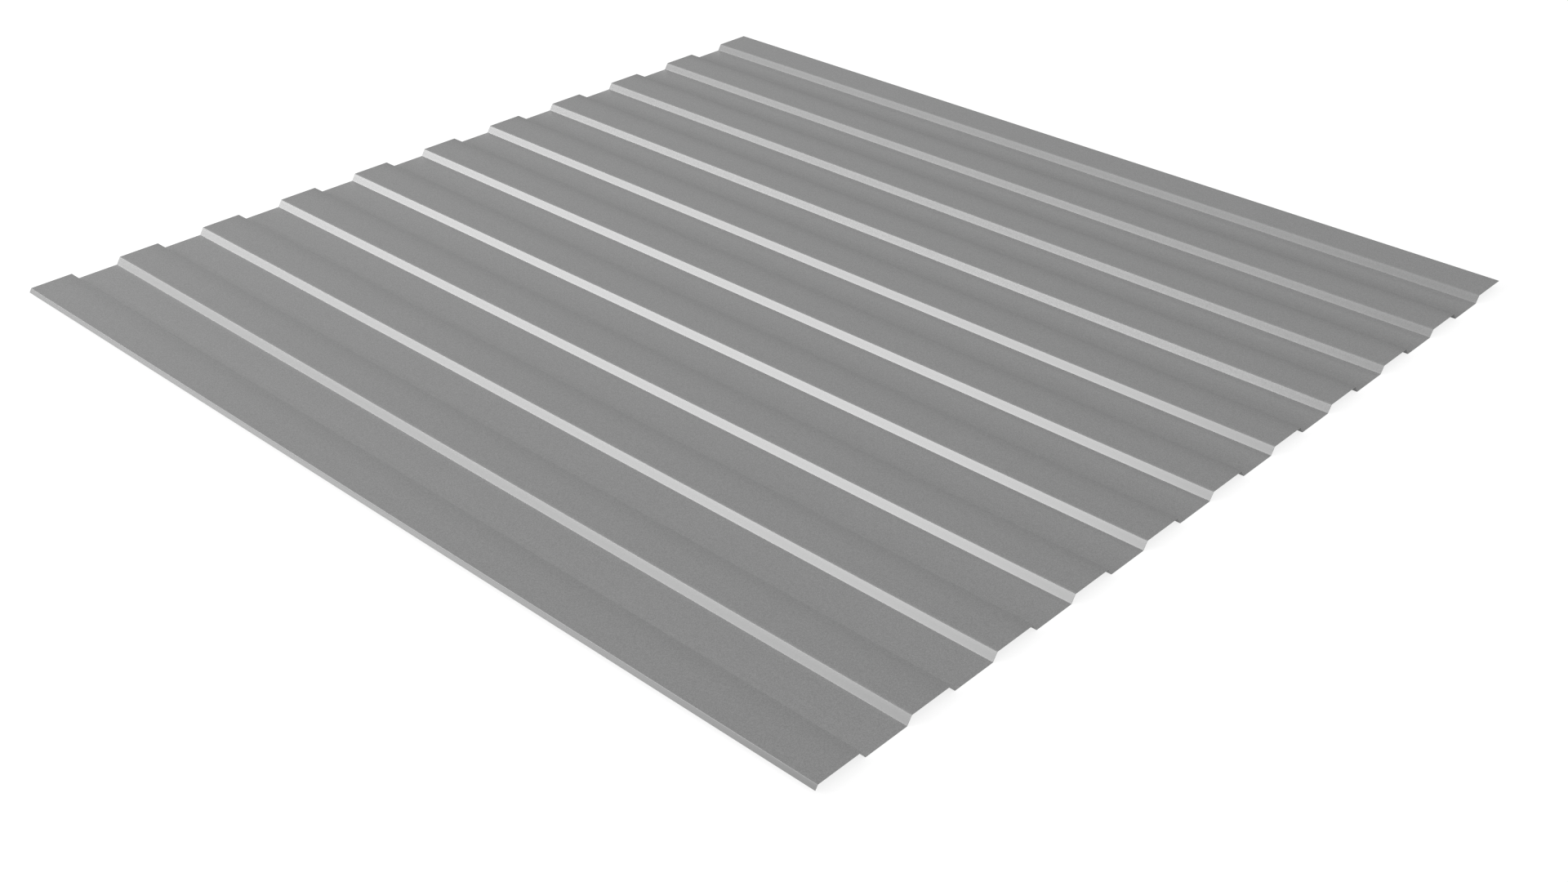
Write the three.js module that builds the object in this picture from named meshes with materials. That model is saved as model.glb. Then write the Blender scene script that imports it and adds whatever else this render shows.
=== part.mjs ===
// A trapezoidal profiled steel sheet for roofs, walls and fences, rolled from one flat strip.
// Eleven low flat-topped ribs run the whole length, and the troughs between them are as flat.
// Its starting edge is a short lip turned down off the first rib, and its closing edge is the
// last rib, cut square where its second web would begin, so that it laps over the next sheet's lip.
//
// Millimetres, +Z up. X runs across the ribs and Y along them. The sheet lies on the undersides
// of its troughs, with the origin under the middle of it.

import * as THREE from "three";

// Driving dimensions. Widths in the section are between the theoretical sharp corners of the
// upper face, as a roll former's drawing gives them.
const sheetLength = 1250;
const sheetThickness = 0.5;
const ribCount = 11;
const ribPitch = 115;
const crestWidth = 51.8;
const closingCrestWidth = 51.8;
const webRun = 5.7;
const ribRise = 8.5;
const lipDrop = 4.7;
const bendRadius = 0.5; // inside each bend
const bendFacets = 4;

const crestHeight = sheetThickness + ribRise; // the upper face of a crest, above the floor
const webAngle = Math.atan2(ribRise, webRun);
const lipRun = lipDrop / Math.tan(webAngle);
const outerRadius = bendRadius + sheetThickness;
const closingEdge = (ribCount - 1) * ribPitch + closingCrestWidth;

const up = Math.PI / 2;
const down = -Math.PI / 2;

// A bend folds the sheet between a flat stretch and a web. Both faces turn about one centre.
// At a crest the centre is under the sheet, and at a trough it is over it.
// `side` is 1 where the web lies before the flat, in +X order, and -1 where it lies after it.
function crestBend(corner, side) {
  const web = up + side * webAngle;
  return {
    x: corner + side * outerRadius * Math.tan(webAngle / 2),
    z: crestHeight - outerRadius,
    from: side > 0 ? web : up,
    to: side > 0 ? up : web,
    upperRadius: outerRadius,
    lowerRadius: bendRadius,
    clockwise: true,
  };
}

function troughBend(corner, side) {
  const web = down - side * webAngle;
  return {
    x: corner + side * bendRadius * Math.tan(webAngle / 2),
    z: sheetThickness + bendRadius,
    from: side > 0 ? web : down,
    to: side > 0 ? down : web,
    upperRadius: bendRadius,
    lowerRadius: outerRadius,
    clockwise: false,
  };
}

// Every bend of the section, from the lip to the closing edge.
function sectionBends() {
  const bends = [];
  for (let rib = 0; rib < ribCount; rib++) {
    const crestStart = rib * ribPitch;
    bends.push(crestBend(crestStart, 1));
    if (rib === ribCount - 1) break;
    bends.push(crestBend(crestStart + crestWidth, -1));
    bends.push(troughBend(crestStart + crestWidth + webRun, 1));
    bends.push(troughBend(crestStart + ribPitch - webRun, -1));
  }
  return bends;
}

// The closed section: up the lip's cut edge, along the upper face, down the closing edge and
// back along the lower face. The arcs are joined by the straight webs, crests and troughs.
function sheetSection() {
  const bends = sectionBends();
  const lipNormal = up + webAngle;
  const lipX = -lipRun;
  const lipZ = crestHeight - lipDrop;
  const section = new THREE.Shape();

  section.moveTo(
    lipX - sheetThickness * Math.cos(lipNormal),
    lipZ - sheetThickness * Math.sin(lipNormal),
  );
  section.lineTo(lipX, lipZ);
  for (const bend of bends) {
    section.absarc(bend.x, bend.z, bend.upperRadius, bend.from, bend.to, bend.clockwise);
  }
  section.lineTo(closingEdge, crestHeight);
  section.lineTo(closingEdge, crestHeight - sheetThickness);
  for (const bend of bends.toReversed()) {
    section.absarc(bend.x, bend.z, bend.lowerRadius, bend.to, bend.from, !bend.clockwise);
  }
  section.closePath();
  return section;
}

const galvanisedSteel = new THREE.MeshStandardMaterial({
  name: "galvanised_steel",
  color: 0x959595,
  roughness: 0.42,
  metalness: 0.9,
});

// The section stands on the XY plane and is extruded along Z, so the mesh is tipped about X to
// stand it up: its length then runs along Y.
function profiledSheet() {
  const geometry = new THREE.ExtrudeGeometry(sheetSection(), {
    depth: sheetLength,
    steps: 1,
    curveSegments: bendFacets / 2, // three.js gives an arc two facets for each of these
    bevelEnabled: false,
  });
  const mesh = new THREE.Mesh(geometry, galvanisedSteel);
  mesh.name = "profiled_sheet";
  mesh.rotation.x = Math.PI / 2;
  mesh.position.set((lipRun - closingEdge) / 2, sheetLength / 2, 0);
  return mesh;
}

const sheet = new THREE.Group();
sheet.name = "trapezoidal_profiled_sheet";
sheet.add(profiledSheet());

export default sheet;
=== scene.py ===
"""The looks of a low trapezoidal profiled sheet of galvanised steel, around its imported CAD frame.

Lengths are in metres unless a description says otherwise. X runs across the ribs, Y along them
and Z up.
"""

import math

import bmesh
import bpy
from bpy.props import FloatProperty, FloatVectorProperty, IntProperty, PointerProperty
from mathutils import Euler, Matrix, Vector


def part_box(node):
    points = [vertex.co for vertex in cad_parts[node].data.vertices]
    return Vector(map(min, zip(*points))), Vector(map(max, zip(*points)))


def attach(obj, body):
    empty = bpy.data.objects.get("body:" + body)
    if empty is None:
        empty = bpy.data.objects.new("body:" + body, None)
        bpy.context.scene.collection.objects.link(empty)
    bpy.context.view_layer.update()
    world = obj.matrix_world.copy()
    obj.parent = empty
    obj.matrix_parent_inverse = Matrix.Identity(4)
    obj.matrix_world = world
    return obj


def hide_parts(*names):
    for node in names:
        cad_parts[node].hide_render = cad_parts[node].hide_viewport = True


bl_info = {
    "name": "Profiled steel sheet",
    "version": (1, 0, 0),
    "blender": (4, 5, 0),
    "location": "3D View > Sidebar > Sheet",
    "description": "Rolls a low profiled sheet with a galvanised finish, and sets up its studio",
    "category": "Object",
}

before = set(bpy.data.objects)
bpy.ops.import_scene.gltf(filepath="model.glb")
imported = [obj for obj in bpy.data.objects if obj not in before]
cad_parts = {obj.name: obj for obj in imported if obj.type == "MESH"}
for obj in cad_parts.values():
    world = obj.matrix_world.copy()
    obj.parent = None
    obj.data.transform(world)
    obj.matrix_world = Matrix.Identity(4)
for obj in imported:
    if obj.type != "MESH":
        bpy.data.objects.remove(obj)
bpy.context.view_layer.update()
SHEET_NODE = "profiled_sheet"
SHEET_LOW, SHEET_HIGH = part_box(SHEET_NODE)

MM = 0.001
SAME_PLACE = 0.01 * MM  # two places nearer than this are one
SHEARED_CORNER = math.radians(60)  # an edge that turns more than this is a corner of a cut
SMOOTH_TURN = math.radians(40)  # faces that turn less than this are shaded as one


# Colours ------------------------------------------------------------------------------------


def linear(hex_colour):
    """The linear RGB of an sRGB colour such as "#9b9b9b"."""
    channels = [int(hex_colour[i:i + 2], 16) / 255 for i in (1, 3, 5)]
    return tuple(c / 12.92 if c <= 0.04045 else ((c + 0.055) / 1.055) ** 2.4 for c in channels)


# Settings -----------------------------------------------------------------------------------


class SheetSection(bpy.types.PropertyGroup):
    """The rolled section, between the sharp corners of its upper face."""

    rib_count: IntProperty(name="Ribs", description="Ribs across the sheet", default=11, min=2)
    rib_pitch: FloatProperty(
        name="Pitch", description="From one rib to the next", default=0.115, unit="LENGTH")
    crest_width: FloatProperty(
        name="Crest", description="Flat top of a rib", default=0.0518, unit="LENGTH")
    closing_crest_width: FloatProperty(
        name="Closing crest", description="Flat top of the last rib, up to its cut edge",
        default=0.0518, unit="LENGTH")
    web_run: FloatProperty(
        name="Web run", description="How far a web goes across as it rises", default=0.0057,
        unit="LENGTH")
    rib_rise: FloatProperty(
        name="Rise", description="From a trough's face up to a crest's", default=0.0085,
        unit="LENGTH")
    lip_drop: FloatProperty(
        name="Lip drop", description="How far the first edge is turned down", default=0.0047,
        unit="LENGTH")
    thickness: FloatProperty(
        name="Thickness", description="Steel and zinc together", default=0.0005, unit="LENGTH")
    bend_radius: FloatProperty(
        name="Bend radius", description="Inside each bend", default=0.0005, unit="LENGTH")
    bend_facets: IntProperty(
        name="Bend facets", description="Faces round each bend", default=8, min=1)
    burr_radius: FloatProperty(
        name="Edge radius", description="Rounding that the shear leaves on a cut edge",
        default=0.00008, unit="LENGTH")


class SteelFinish(bpy.types.PropertyGroup):
    """Hot-dip galvanised steel with a small spangle, dulled by storage."""

    light_grey: FloatVectorProperty(
        name="Light spangle", description="Brightest zinc crystals", subtype="COLOR",
        default=linear("#929292"), min=0, max=1)
    dark_grey: FloatVectorProperty(
        name="Dark spangle", description="Dullest zinc crystals", subtype="COLOR",
        default=linear("#828282"), min=0, max=1)
    edge_grey: FloatVectorProperty(
        name="Cut edge", description="Bare steel where the sheet was sheared", subtype="COLOR",
        default=linear("#8a8a8a"), min=0, max=1)
    spangle_size: FloatProperty(
        name="Spangle", description="Across one zinc crystal", default=0.0007, unit="LENGTH")
    grain_size: FloatProperty(
        name="Grain", description="Across one speck of the matt grain, really about 0.2 mm",
        default=0.0008, unit="LENGTH")
    roughness: FloatProperty(
        name="Roughness", description="Mean roughness of the zinc", default=0.306, min=0, max=1,
        subtype="FACTOR")
    bare_metal: FloatProperty(
        name="Bare metal", description="Share of the zinc that its grey oxide doesn't cover",
        default=0.3, min=0, max=1, subtype="FACTOR")
    oxide_gloss: FloatProperty(
        name="Oxide gloss", description="Specular level of the oxide", default=0.05, min=0,
        max=1, subtype="FACTOR")


class Studio(bpy.types.PropertyGroup):
    """The floor, the lamp, the sky and the camera."""

    floor_white: FloatVectorProperty(
        name="Floor", description="Painted floor", subtype="COLOR", default=linear("#f4f4f4"),
        min=0, max=1)
    floor_size: FloatProperty(
        name="Floor size", description="Side of the floor", default=24.0, unit="LENGTH")
    floor_shadow: FloatProperty(
        name="Floor shadow", description="How much of a shadow the white floor keeps",
        default=0.3, min=0, max=0.9, subtype="FACTOR")
    sky_level: FloatProperty(
        name="Sky", description="Light of the soft dome around the sheet", default=0.75)
    lamp_place: FloatVectorProperty(
        name="Lamp", description="Middle of the strip softbox", default=(-2.57, 2.84, 1.54),
        subtype="XYZ", unit="LENGTH")
    lamp_heading: FloatProperty(
        name="Lamp heading", description="Where the softbox faces, from +X round to +Y",
        default=math.radians(-3.1), subtype="ANGLE")
    lamp_dip: FloatProperty(
        name="Lamp dip", description="How far the softbox faces down",
        default=math.radians(21.2), subtype="ANGLE")
    lamp_length: FloatProperty(
        name="Lamp length", description="Of the softbox, along the ribs", default=4.5,
        unit="LENGTH")
    lamp_height: FloatProperty(
        name="Lamp height", description="Of the softbox", default=1.24, unit="LENGTH")
    lamp_power: FloatProperty(
        name="Lamp power", description="Of the softbox, in watts", default=111.5)
    camera_place: FloatVectorProperty(
        name="Camera", description="Where the camera stands", default=(-1.4179, -1.3551, 1.0008),
        subtype="XYZ", unit="LENGTH")
    camera_heading: FloatProperty(
        name="Heading", description="From +Y clockwise, seen from above",
        default=math.radians(46.874), subtype="ANGLE")
    camera_dip: FloatProperty(
        name="Dip", description="How far the camera looks down", default=math.radians(31.64),
        subtype="ANGLE")
    camera_roll: FloatProperty(
        name="Roll", description="How far the camera is off level",
        default=math.radians(0.053), subtype="ANGLE")
    camera_lens: FloatProperty(
        name="Lens", description="Focal length in mm, on a sensor 36 mm wide", default=42.58)


# Helpers ------------------------------------------------------------------------------------


def start_clean():
    """Object mode with nothing selected, so that an operator acts only on what is added next."""
    if bpy.context.mode != "OBJECT":
        bpy.ops.object.mode_set(mode="OBJECT")
    bpy.ops.object.select_all(action="DESELECT")


def select_edges(piece, wanted):
    """In edit mode, selects only the edges of the piece for which wanted(edge) is true."""
    bpy.ops.mesh.select_all(action="DESELECT")
    mesh = bmesh.from_edit_mesh(piece.data)
    for edge in mesh.edges:
        if wanted(edge):
            edge.select_set(True)
    bmesh.update_edit_mesh(piece.data)


def apply_modifier(piece, kind, **settings):
    """Adds a modifier to the piece, sets it up and applies it."""
    modifier = piece.modifiers.new(kind.title(), kind)
    for name, value in settings.items():
        setattr(modifier, name, value)
    bpy.context.view_layer.objects.active = piece
    bpy.ops.object.modifier_apply(modifier=modifier.name)


def add_node(tree, kind, links=None, inputs=None, **settings):
    """Adds a node to a tree, sets its properties and input values, and links its inputs."""
    node = tree.nodes.new(kind)
    for name, value in settings.items():
        setattr(node, name, value)
    for name, value in (inputs or {}).items():
        node.inputs[name].default_value = value
    for name, source in (links or {}).items():
        tree.links.new(source, node.inputs[name])
    return node


def new_material(name):
    """An empty node material of that name and its tree."""
    material = bpy.data.materials.new(name)
    material.use_nodes = True
    material.node_tree.nodes.clear()
    return material, material.node_tree


# Materials ----------------------------------------------------------------------------------


def painted_lip_highlight(tree, across, along, first_bend):
    """A painted highlight: how much brighter the lip is painted than the first crest, and painted
    darker towards its ends."""
    bright, brightest_at = 1.14, 100 * MM
    highlight_fade = 0.43  # for each square metre, by the square of the way from the brightest place
    bend_starts, bend_ends = first_bend - 1.5 * MM, first_bend + 0.2 * MM

    # painted highlight on the lip, painted darker by the square of the way from its brightest place
    from_brightest = add_node(
        tree, "ShaderNodeMath", {0: along}, {1: brightest_at}, operation="SUBTRACT").outputs[0]
    squared = add_node(
        tree, "ShaderNodeMath", {0: from_brightest, 1: from_brightest}, operation="MULTIPLY")
    lip_highlight = add_node(
        tree, "ShaderNodeMath", {0: squared.outputs[0]}, {1: -highlight_fade, 2: bright},
        operation="MULTIPLY_ADD")
    tone = add_node(
        tree, "ShaderNodeMapRange", {"Value": across, "To Min": lip_highlight.outputs[0]},
        {"From Min": bend_starts, "From Max": bend_ends, "To Max": 1.0})
    return tone.outputs["Result"]


def painted_rib_shading(tree, across, first_bend, section):
    """Painted shade and painted light across each rib, carried in the colour. The crest is painted
    darker where it runs up to its second bend, a painted shade, and the trough just past that bend
    is painted brighter on the first rib and darker on the last, painted light and a painted shadow.
    The first bend, the webs and the trough towards the next web's foot are painted brighter, a
    painted highlight and a painted reflection. The painted tones change from the first rib to the
    last. They start past the first bend, and the closing crest has no second bend, so it stays
    plain up to its cut edge."""
    crest, foot = section.crest_width, section.rib_pitch - section.web_run
    marks = (  # place across the rib, painted tone on the first rib, painted tone on the last
        (0, 1.24, 1.2),
        (1.5 * MM, 1.04, 1.06),
        (4 * MM, 0.99, 1.02),
        (crest - 24 * MM, 0.99, 1.015),
        (crest - 12 * MM, 0.955, 0.965),
        (crest - 2 * MM, 0.92, 0.855),
        (crest - 0.5 * MM, 0.94, 0.835),
        (crest, 1.07, 0.86),
        (crest + section.web_run, 1.34, 0.95),
        (crest + section.web_run + 8 * MM, 1.09, 0.96),
        (foot - 34 * MM, 1.03, 0.965),
        (foot - 20 * MM, 1.02, 1.08),
        (foot - 10 * MM, 1.01, 1.22),
        (foot - 5 * MM, 1.06, 1.37),
        (foot - 2 * MM, 1.18, 1.48),
        (foot - 1 * MM, 1.33, 1.52),
        (foot, 1.22, 1.14),
        (foot + 1.2 * MM, 1.14, 1.05),
        (foot + 3 * MM, 1.11, 1.02),
        (section.rib_pitch - 0.6 * MM, 1.15, 1.09))

    last_rib = (section.rib_count - 1) * section.rib_pitch
    marked_from = 4 * MM
    marked_to = last_rib + crest - 24 * MM
    ribs = add_node(
        tree, "ShaderNodeMapRange", {"Value": across},
        {"From Min": first_bend + marked_from, "From Max": first_bend + marked_to,
         "To Min": marked_from / section.rib_pitch, "To Max": marked_to / section.rib_pitch})
    rib_share = add_node(tree, "ShaderNodeMath", {0: ribs.outputs["Result"]}, operation="FRACT")
    sheet_share = add_node(
        tree, "ShaderNodeMapRange", {"Value": across},
        {"From Min": first_bend, "From Max": first_bend + last_rib})
    tones = []
    for column in (1, 2):  # the first rib's tones, then the last's
        tone = add_node(tree, "ShaderNodeValToRGB", {"Fac": rib_share.outputs[0]})
        stops = tone.color_ramp.elements
        stops.remove(stops[1])
        for mark in marks[1:]:
            stops.new(mark[0] / section.rib_pitch)
        for stop, mark in zip(stops, marks):
            stop.color = (mark[column], mark[column], mark[column], 1)
        tones.append(tone.outputs["Color"])
    # the painted shade and light, blended from the first rib's tones to the last's
    rolled = add_node(
        tree, "ShaderNodeMix",
        {"Factor": sheet_share.outputs["Result"], "A": tones[0], "B": tones[1]},
        data_type="RGBA")
    return rolled.outputs["Result"]


def rubbed_plain(tree, across, first_bend, section):
    """How far the forming rolls rub the crystals away: wholly on the webs of the first ribs, a
    third on those of the last four, and not at all on the crests and in the troughs."""
    light_ribs, light_pressure = 4, 0.35
    lighter_from = first_bend + (section.rib_count - 1 - light_ribs) * section.rib_pitch

    from_crest = add_node(
        tree, "ShaderNodeMath", {0: across}, {1: first_bend + section.crest_width / 2},
        operation="SUBTRACT")
    to_middle = add_node(
        tree, "ShaderNodeMath", {0: from_crest.outputs[0]}, {1: section.rib_pitch / 2},
        operation="PINGPONG")
    web = add_node(
        tree, "ShaderNodeMath", {0: to_middle.outputs[0]},
        {1: (section.crest_width + section.web_run) / 2, 2: section.web_run / 2},
        operation="COMPARE")
    pressure = add_node(
        tree, "ShaderNodeMapRange", {"Value": across},
        {"From Min": lighter_from, "From Max": lighter_from + section.rib_pitch, "To Min": 1.0,
         "To Max": light_pressure})
    rubbed = add_node(
        tree, "ShaderNodeMath", {0: web.outputs[0], 1: pressure.outputs["Result"]},
        operation="MULTIPLY")
    return rubbed.outputs[0]


def galvanised_steel(finish, section, first_bend):
    """Hot-dip galvanised steel sheet. The zinc freezes in flat crystals, each a little lighter or
    duller than its neighbour, and the skin-pass rolls leave the whole face satin, with a matt
    grain, which is drawn coarser than it is so that it shows. The forming rolls rub the crystals
    away on the webs, which are left plainer."""
    cloud_size = 60 * MM
    grain_share, cloud_share = 0.6, 0.05
    dull, plain, bright = 0.3, 0.5, 0.7  # most of the mottle lies between the first and the last
    polish = 0.02  # how much smoother a bright crystal is than the mean
    low_shine = (0.7, 0.7, 0.7, 1)  # what the zinc keeps of its shine when seen at a low angle

    material, tree = new_material("galvanised_steel")
    place = add_node(tree, "ShaderNodeTexCoord").outputs["Object"]
    axes = add_node(tree, "ShaderNodeSeparateXYZ", {"Vector": place}).outputs
    across, along = axes["X"], axes["Y"]

    spangle = add_node(
        tree, "ShaderNodeTexVoronoi", {"Vector": place},
        {"Scale": 1 / finish.spangle_size, "Randomness": 1.0})
    crystal = add_node(tree, "ShaderNodeSeparateColor", {"Color": spangle.outputs["Color"]})
    grain = add_node(
        tree, "ShaderNodeTexNoise", {"Vector": place},
        {"Scale": 1 / finish.grain_size, "Detail": 2.0, "Roughness": 0.6})
    clouds = add_node(
        tree, "ShaderNodeTexNoise", {"Vector": place},
        {"Scale": 1 / cloud_size, "Detail": 2.0, "Roughness": 0.5})

    crystal_and_grain = add_node(
        tree, "ShaderNodeMix", {"A": crystal.outputs["Red"], "B": grain.outputs["Fac"]},
        {"Factor": grain_share}, data_type="FLOAT")
    with_clouds = add_node(
        tree, "ShaderNodeMix",
        {"A": crystal_and_grain.outputs["Result"], "B": clouds.outputs["Fac"]},
        {"Factor": cloud_share}, data_type="FLOAT")
    mottle = add_node(
        tree, "ShaderNodeMix",
        {"Factor": rubbed_plain(tree, across, first_bend, section),
         "A": with_clouds.outputs["Result"]}, {"B": plain}, data_type="FLOAT")

    zinc = add_node(tree, "ShaderNodeValToRGB", {"Fac": mottle.outputs["Result"]})
    for stop, position, grey in zip(
            zinc.color_ramp.elements, (dull, bright), (finish.dark_grey, finish.light_grey)):
        stop.position = position
        stop.color = (*grey, 1)
    # the zinc's colour times the painted shade and painted light across the ribs
    rolled = add_node(
        tree, "ShaderNodeMix",
        {"A": zinc.outputs["Color"], "B": painted_rib_shading(tree, across, first_bend, section)},
        {"Factor": 1.0}, data_type="RGBA", blend_type="MULTIPLY")
    # the zinc's colour times the painted highlight on the lip
    with_lip_highlight = add_node(
        tree, "ShaderNodeMix",
        {"A": rolled.outputs["Result"], "B": painted_lip_highlight(tree, across, along, first_bend)},
        {"Factor": 1.0}, data_type="RGBA", blend_type="MULTIPLY")
    roughness = add_node(
        tree, "ShaderNodeMapRange", {"Value": mottle.outputs["Result"]},
        {"From Min": dull, "From Max": bright, "To Min": finish.roughness + polish,
         "To Max": finish.roughness - polish})

    shader = add_node(
        tree, "ShaderNodeBsdfPrincipled",
        {"Base Color": with_lip_highlight.outputs["Result"], "Roughness": roughness.outputs["Result"]},
        {"Metallic": finish.bare_metal, "Specular IOR Level": finish.oxide_gloss,
         "Specular Tint": low_shine})
    add_node(tree, "ShaderNodeOutputMaterial", {"Surface": shader.outputs["BSDF"]})
    return material


def sheared_steel(finish):
    """The bare steel of the cut edges. A shear cuts half the thickness and tears the rest, so the
    edge is duller than the faces, with fine marks across it."""
    tear_size = 0.4 * MM
    smoothest, roughest = 0.4, 0.6

    material, tree = new_material("sheared_steel")
    place = add_node(tree, "ShaderNodeTexCoord").outputs["Object"]
    tear = add_node(
        tree, "ShaderNodeTexNoise", {"Vector": place},
        {"Scale": 1 / tear_size, "Detail": 3.0, "Roughness": 0.7})
    roughness = add_node(
        tree, "ShaderNodeMapRange", {"Value": tear.outputs["Fac"]},
        {"To Min": smoothest, "To Max": roughest})
    shader = add_node(
        tree, "ShaderNodeBsdfPrincipled", {"Roughness": roughness.outputs["Result"]},
        {"Base Color": (*finish.edge_grey, 1), "Metallic": 1.0})
    add_node(tree, "ShaderNodeOutputMaterial", {"Surface": shader.outputs["BSDF"]})
    return material


def seen_directly(tree):
    """One for the rays that show a backdrop as it is: to the camera, off metal or through glass."""
    rays = add_node(tree, "ShaderNodeLightPath")
    seen = add_node(
        tree, "ShaderNodeMath",
        {0: rays.outputs["Is Camera Ray"], 1: rays.outputs["Is Glossy Ray"]}, operation="MAXIMUM")
    seen = add_node(
        tree, "ShaderNodeMath", {0: seen.outputs[0], 1: rays.outputs["Is Transmission Ray"]},
        operation="MAXIMUM")
    return seen.outputs[0]


def white_floor(studio):
    """Matt white painted floor. Where it is seen it glows by what the sky leaves it short of
    white, so that it meets the backdrop without a line and keeps the sheet's shadow."""
    material, tree = new_material("white_floor_paint")
    material.cycles.emission_sampling = "NONE"  # sampled as a lamp, it would make the metal noisy
    paint = add_node(
        tree, "ShaderNodeBsdfDiffuse", None, {"Color": (*studio.floor_white, 1)})
    paint_share = studio.floor_shadow
    paint_level = studio.floor_white[0] * studio.sky_level
    glow = add_node(
        tree, "ShaderNodeEmission", None,
        {"Color": (1, 1, 1, 1), "Strength": (1 - paint_share * paint_level) / (1 - paint_share)})
    glow_share = add_node(
        tree, "ShaderNodeMath", {0: seen_directly(tree)}, {1: 1 - paint_share},
        operation="MULTIPLY")
    shader = add_node(
        tree, "ShaderNodeMixShader",
        {"Fac": glow_share.outputs[0], 1: paint.outputs[0], 2: glow.outputs[0]})
    add_node(tree, "ShaderNodeOutputMaterial", {"Surface": shader.outputs["Shader"]})
    return material


# The sheet ----------------------------------------------------------------------------------


def extrude_edge(piece, at_x, across, rise):
    """Pulls a new strip out of the sheet's long edge at at_x, across by one and up by the other."""
    select_edges(piece, lambda edge: all(abs(v.co.x - at_x) < SAME_PLACE for v in edge.verts))
    bpy.ops.mesh.extrude_region_move(TRANSFORM_OT_translate={"value": (across, 0, rise)})
    return at_x + across


def round_bends(piece, at_z, radius, section):
    """Rounds the bends at one height to a radius of the upper face."""
    web_angle = math.atan2(section.rib_rise, section.web_run)
    select_edges(
        piece,
        lambda edge: len(edge.link_faces) == 2
        and all(abs(v.co.z - at_z) < SAME_PLACE for v in edge.verts)
        and edge.calc_face_angle() > web_angle / 2)
    bpy.ops.mesh.bevel(
        offset_type="OFFSET", offset=radius * math.tan(web_angle / 2),
        segments=section.bend_facets, profile=0.5, affect="EDGES")


class SHEET_OT_roll(bpy.types.Operator):
    """Roll the profiled sheet from its first crest outwards, bend by bend"""

    bl_idname = "sheet.roll"
    bl_label = "Roll the sheet"

    def execute(self, context):
        section = context.scene.sheet_section
        finish = context.scene.steel_finish
        length = SHEET_HIGH.y - SHEET_LOW.y
        trough_width = section.rib_pitch - section.crest_width - 2 * section.web_run
        crest_z = SHEET_LOW.z + section.thickness + section.rib_rise
        trough_z = SHEET_LOW.z + section.thickness
        lip_run = section.lip_drop * section.web_run / section.rib_rise
        first_bend = SHEET_LOW.x + lip_run

        start_clean()
        bpy.ops.mesh.primitive_plane_add(
            size=1, location=(first_bend + section.crest_width / 2, 0, crest_z))
        sheet = context.active_object
        sheet.name = "galvanised_sheet"
        sheet.scale = (section.crest_width, length, 1)
        bpy.ops.object.transform_apply(location=True, rotation=False, scale=True)

        bpy.ops.object.mode_set(mode="EDIT")
        bpy.ops.mesh.select_mode(type="EDGE")
        edge_x = first_bend + section.crest_width
        for rib in range(1, section.rib_count):
            last = rib == section.rib_count - 1
            crest = section.closing_crest_width if last else section.crest_width
            edge_x = extrude_edge(sheet, edge_x, section.web_run, -section.rib_rise)
            edge_x = extrude_edge(sheet, edge_x, trough_width, 0)
            edge_x = extrude_edge(sheet, edge_x, section.web_run, section.rib_rise)
            edge_x = extrude_edge(sheet, edge_x, crest, 0)
        extrude_edge(sheet, first_bend, -lip_run, -section.lip_drop)
        round_bends(sheet, crest_z, section.bend_radius + section.thickness, section)
        round_bends(sheet, trough_z, section.bend_radius, section)
        bpy.ops.mesh.select_all(action="SELECT")
        bpy.ops.mesh.remove_doubles(threshold=SAME_PLACE)
        bpy.ops.mesh.normals_make_consistent(inside=False)
        bpy.ops.object.mode_set(mode="OBJECT")
        if sum(face.normal.z for face in sheet.data.polygons) < 0:
            sheet.data.flip_normals()

        sheet.data.materials.append(galvanised_steel(finish, section, first_bend))
        sheet.data.materials.append(sheared_steel(finish))
        apply_modifier(
            sheet, "SOLIDIFY", thickness=section.thickness, offset=-1, use_even_offset=True,
            material_offset_rim=1)
        apply_modifier(
            sheet, "BEVEL", width=section.burr_radius, segments=2, limit_method="ANGLE",
            angle_limit=SHEARED_CORNER)
        bpy.ops.object.shade_smooth_by_angle(angle=SMOOTH_TURN)
        apply_modifier(sheet, "WEIGHTED_NORMAL", keep_sharp=True)

        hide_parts(SHEET_NODE)
        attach(sheet, "root")
        return {"FINISHED"}


# The studio ---------------------------------------------------------------------------------


def soft_sky(scene, studio):
    """A plain white dome, which lights the floor and the matt surfaces a little below white."""
    scene.world = bpy.data.worlds.new("soft_sky")
    scene.world.use_nodes = True
    tree = scene.world.node_tree
    tree.nodes.clear()
    level = add_node(
        tree, "ShaderNodeMapRange", {"Value": seen_directly(tree)},
        {"To Min": studio.sky_level, "To Max": 1.0})
    sky = add_node(
        tree, "ShaderNodeBackground", {"Strength": level.outputs["Result"]},
        {"Color": (1, 1, 1, 1)})
    add_node(tree, "ShaderNodeOutputWorld", {"Surface": sky.outputs["Background"]})


def softbox(scene, studio):
    """One long strip softbox, low beside the webs that face it. The camera doesn't see it."""
    heading, dip = studio.lamp_heading, studio.lamp_dip
    data = bpy.data.lights.new("softbox", "AREA")
    data.shape = "RECTANGLE"
    data.size = studio.lamp_length
    data.size_y = studio.lamp_height
    data.energy = studio.lamp_power
    lamp = bpy.data.objects.new("softbox", data)
    lamp.location = studio.lamp_place
    lamp.rotation_euler = Euler((math.pi / 2 - dip, 0, heading - math.pi / 2), "XYZ")
    lamp.visible_camera = False
    scene.collection.objects.link(lamp)


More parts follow.
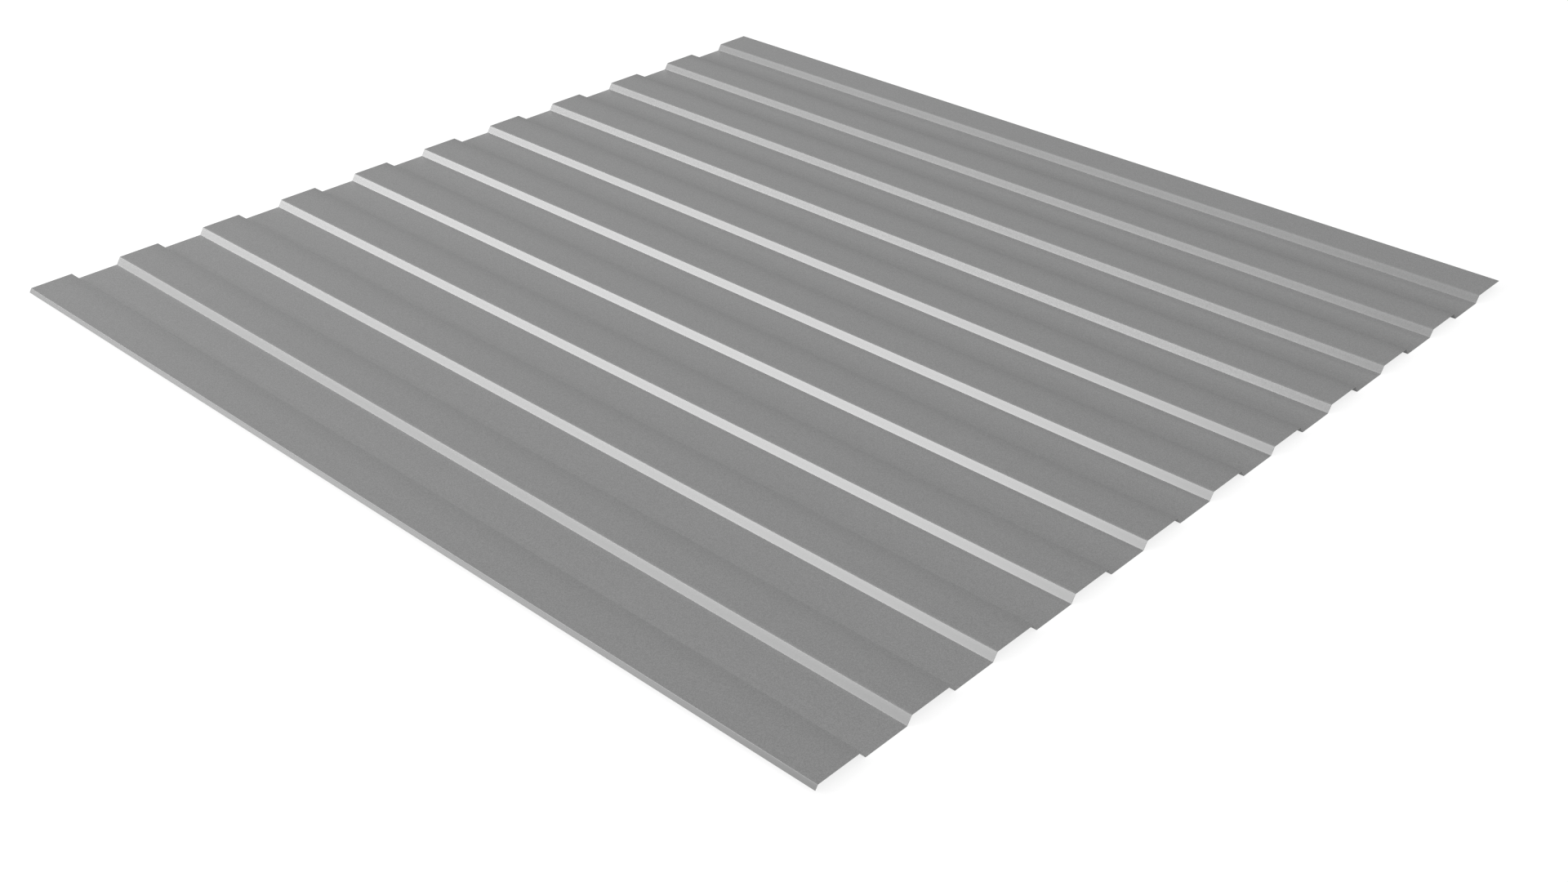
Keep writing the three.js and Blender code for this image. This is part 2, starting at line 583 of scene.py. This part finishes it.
def studio_camera(scene, studio):
    """The camera, all but level and looking down at the sheet."""
    data = bpy.data.cameras.new("camera")
    data.sensor_width = 36
    data.lens = studio.camera_lens
    camera = bpy.data.objects.new("camera", data)
    camera.location = studio.camera_place
    aim = Euler((math.pi / 2 - studio.camera_dip, 0, -studio.camera_heading), "XYZ")
    roll = Matrix.Rotation(studio.camera_roll, 3, "Z")
    camera.rotation_euler = (aim.to_matrix() @ roll).to_euler()
    scene.collection.objects.link(camera)
    scene.camera = camera


class SHEET_OT_studio(bpy.types.Operator):
    """Set up the floor, the light and the camera"""

    bl_idname = "sheet.studio"
    bl_label = "Set up the studio"

    def execute(self, context):
        scene = context.scene
        studio = scene.sheet_studio
        start_clean()
        bpy.ops.mesh.primitive_plane_add(size=studio.floor_size, location=(0, 0, SHEET_LOW.z))
        floor = context.active_object
        floor.name = "floor"
        floor.data.materials.append(white_floor(studio))
        soft_sky(scene, studio)
        softbox(scene, studio)
        studio_camera(scene, studio)
        scene.view_settings.view_transform = "Standard"
        return {"FINISHED"}


# The add-on ---------------------------------------------------------------------------------


class SHEET_PT_panel(bpy.types.Panel):
    """Lists the sheet's operators and sizes"""

    bl_idname = "SHEET_PT_panel"
    bl_label = "Profiled sheet"
    bl_space_type = "VIEW_3D"
    bl_region_type = "UI"
    bl_category = "Sheet"

    def draw(self, context):
        scene = context.scene
        for operator, settings in (
            ("sheet.roll", (scene.sheet_section, scene.steel_finish)),
            ("sheet.studio", (scene.sheet_studio,)),
        ):
            self.layout.operator(operator)
            for group in settings:
                for name in group.__annotations__:
                    self.layout.prop(group, name)


CLASSES = (SheetSection, SteelFinish, Studio, SHEET_OT_roll, SHEET_OT_studio, SHEET_PT_panel)
SETTINGS = {"sheet_section": SheetSection, "steel_finish": SteelFinish, "sheet_studio": Studio}


def register():
    for cls in CLASSES:
        bpy.utils.register_class(cls)
    for name, group in SETTINGS.items():
        setattr(bpy.types.Scene, name, PointerProperty(type=group))


def unregister():
    for name in SETTINGS:
        delattr(bpy.types.Scene, name)
    for cls in reversed(CLASSES):
        bpy.utils.unregister_class(cls)


def main():
    register()
    bpy.ops.sheet.roll()
    bpy.ops.sheet.studio()


if __name__ == "__main__":
    main()
